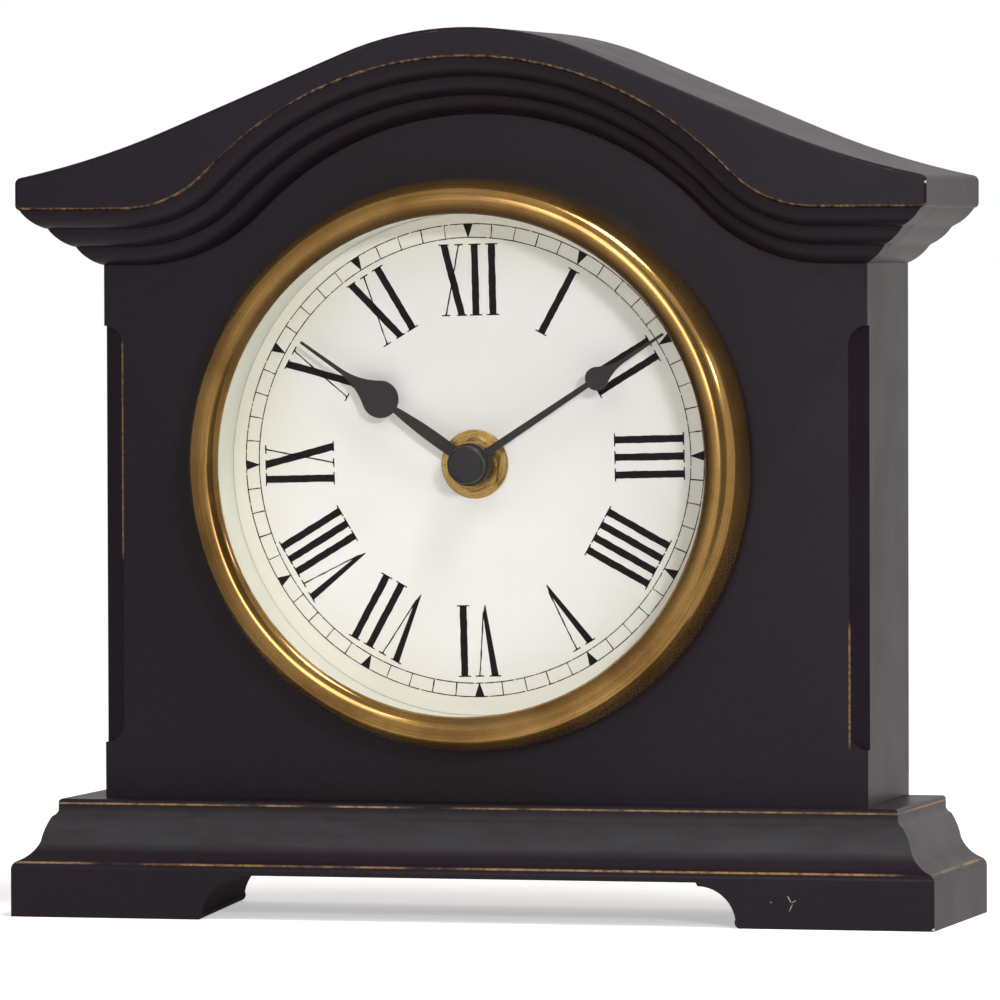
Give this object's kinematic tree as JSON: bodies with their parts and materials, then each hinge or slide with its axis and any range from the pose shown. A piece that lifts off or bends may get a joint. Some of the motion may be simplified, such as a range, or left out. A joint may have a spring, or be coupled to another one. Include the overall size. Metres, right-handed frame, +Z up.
{
  "type": "mantel clock",
  "caption": "Quartz mantel clock: dark painted wooden case with an arched moulded top and bracket feet, brass bezel, white Roman dial and black spade hands.",
  "frame": {"origin": "on the table, under the middle of the plinth", "axes": "+X to the right seen from the front, +Y towards the back, +Z up"},
  "size_m": [0.216, 0.06, 0.2029],
  "materials": {
    "wood": "satin near-black paint over wood, rubbed through to ochre on some edges",
    "hardboard": "brown hardboard",
    "brass": "lacquered spun brass",
    "glass": "clear flat glass",
    "white_pan": "smooth white",
    "dial_paper": "printed white dial paper",
    "black_hands": "black satin paint",
    "black_plastic": "moulded black plastic",
    "white_nylon": "white nylon",
    "steel": "plain steel",
    "screw_steel": "zinc-plated steel",
    "rubber": "black rubber",
    "board": "green circuit board",
    "copper": "enamelled copper winding",
    "battery_sleeve": "printed sleeve over a steel can"
  },
  "bodies": {
    "case": {"base_plinth": "wood", "front_panel": "wood", "left_side_panel": "wood", "right_side_panel": "wood", "crown_block": "wood", "crown_moulding": "wood", "left_cornice_return": "wood", "right_cornice_return": "wood", "back_panel": "hardboard", "base_screws": "screw_steel", "back_screws": "screw_steel", "pan_screws": "screw_steel", "bezel": "brass", "glass": "glass", "glass_gasket": "rubber", "dial_pan": "white_pan", "dial_face": "dial_paper", "dial_washer": "brass", "shaft_nut": "brass", "mounting_washer": "rubber", "movement_front_case": "black_plastic", "movement_rear_case": "black_plastic", "train_plate": "white_nylon", "gear_bridge": "white_nylon", "stator": "steel", "coil_core": "steel", "drive_coil": "copper", "circuit_board": "board", "controller_chip": "black_plastic", "quartz_crystal": "steel", "battery_contact_positive": "steel", "battery_contact_negative": "steel"},
    "battery_cell": {"battery": "battery_sleeve"},
    "hour_hand": {"hour_hand": "black_hands", "hour_wheel": "white_nylon"},
    "minute_hand": {"minute_hand": "black_hands", "centre_cap": "black_hands", "cannon_pinion": "white_nylon"},
    "hand_setting": {"motion_wheel": "white_nylon", "set_knob": "black_plastic"},
    "centre_wheel": {"centre_wheel": "white_nylon"},
    "third_wheel": {"third_wheel": "white_nylon"},
    "seconds_wheel": {"seconds_wheel": "white_nylon"},
    "intermediate_wheel": {"intermediate_wheel": "white_nylon"},
    "rotor": {"rotor": "steel"}
  },
  "joints": [
    {"name": "minute_hand_turn", "type": "hinge", "parent": "case", "child": "minute_hand", "pos_m": [-0.0025, -0.017, 0.1037], "axis": [0, 1, 0], "continuous": true},
    {"name": "hour_hand_turn", "type": "hinge", "parent": "case", "child": "hour_hand", "pos_m": [-0.0025, -0.015, 0.1037], "axis": [0, 1, 0], "continuous": true},
    {"name": "hand_setting_turn", "type": "hinge", "parent": "case", "child": "hand_setting", "pos_m": [0.00814, 0.009, 0.10182], "axis": [0, 1, 0], "continuous": true},
    {"name": "seconds_wheel_turn", "type": "hinge", "parent": "case", "child": "seconds_wheel", "pos_m": [-0.0025, -0.0009, 0.1037], "axis": [0, 1, 0], "continuous": true},
    {"name": "rotor_turn", "type": "hinge", "parent": "case", "child": "rotor", "pos_m": [0.00704, 0.0019, 0.11588], "axis": [0, 1, 0], "continuous": true},
    {"name": "intermediate_wheel_turn", "type": "hinge", "parent": "case", "child": "intermediate_wheel", "pos_m": [0.00344, 0.0001, 0.10964], "axis": [0, 1, 0], "continuous": true},
    {"name": "third_wheel_turn", "type": "hinge", "parent": "case", "child": "third_wheel", "pos_m": [-0.00971, -0.0019, 0.11091], "axis": [0, 1, 0], "continuous": true},
    {"name": "centre_wheel_turn", "type": "hinge", "parent": "case", "child": "centre_wheel", "pos_m": [-0.0025, -0.0043, 0.1037], "axis": [0, 1, 0], "continuous": true},
    {"name": "battery_slide", "type": "slide", "parent": "case", "child": "battery_cell", "axis": [0, 1, 0], "range_m": [0, 0.04]}
  ],
  "couplings": [
    {"joint": "hour_hand_turn", "follows": "minute_hand_turn", "ratio": 0.083333},
    {"joint": "hand_setting_turn", "follows": "minute_hand_turn", "ratio": -0.33333},
    {"joint": "intermediate_wheel_turn", "follows": "seconds_wheel_turn", "ratio": -6},
    {"joint": "rotor_turn", "follows": "seconds_wheel_turn", "ratio": 30},
    {"joint": "third_wheel_turn", "follows": "seconds_wheel_turn", "ratio": -0.13333},
    {"joint": "centre_wheel_turn", "follows": "seconds_wheel_turn", "ratio": 0.016667}
  ]
}
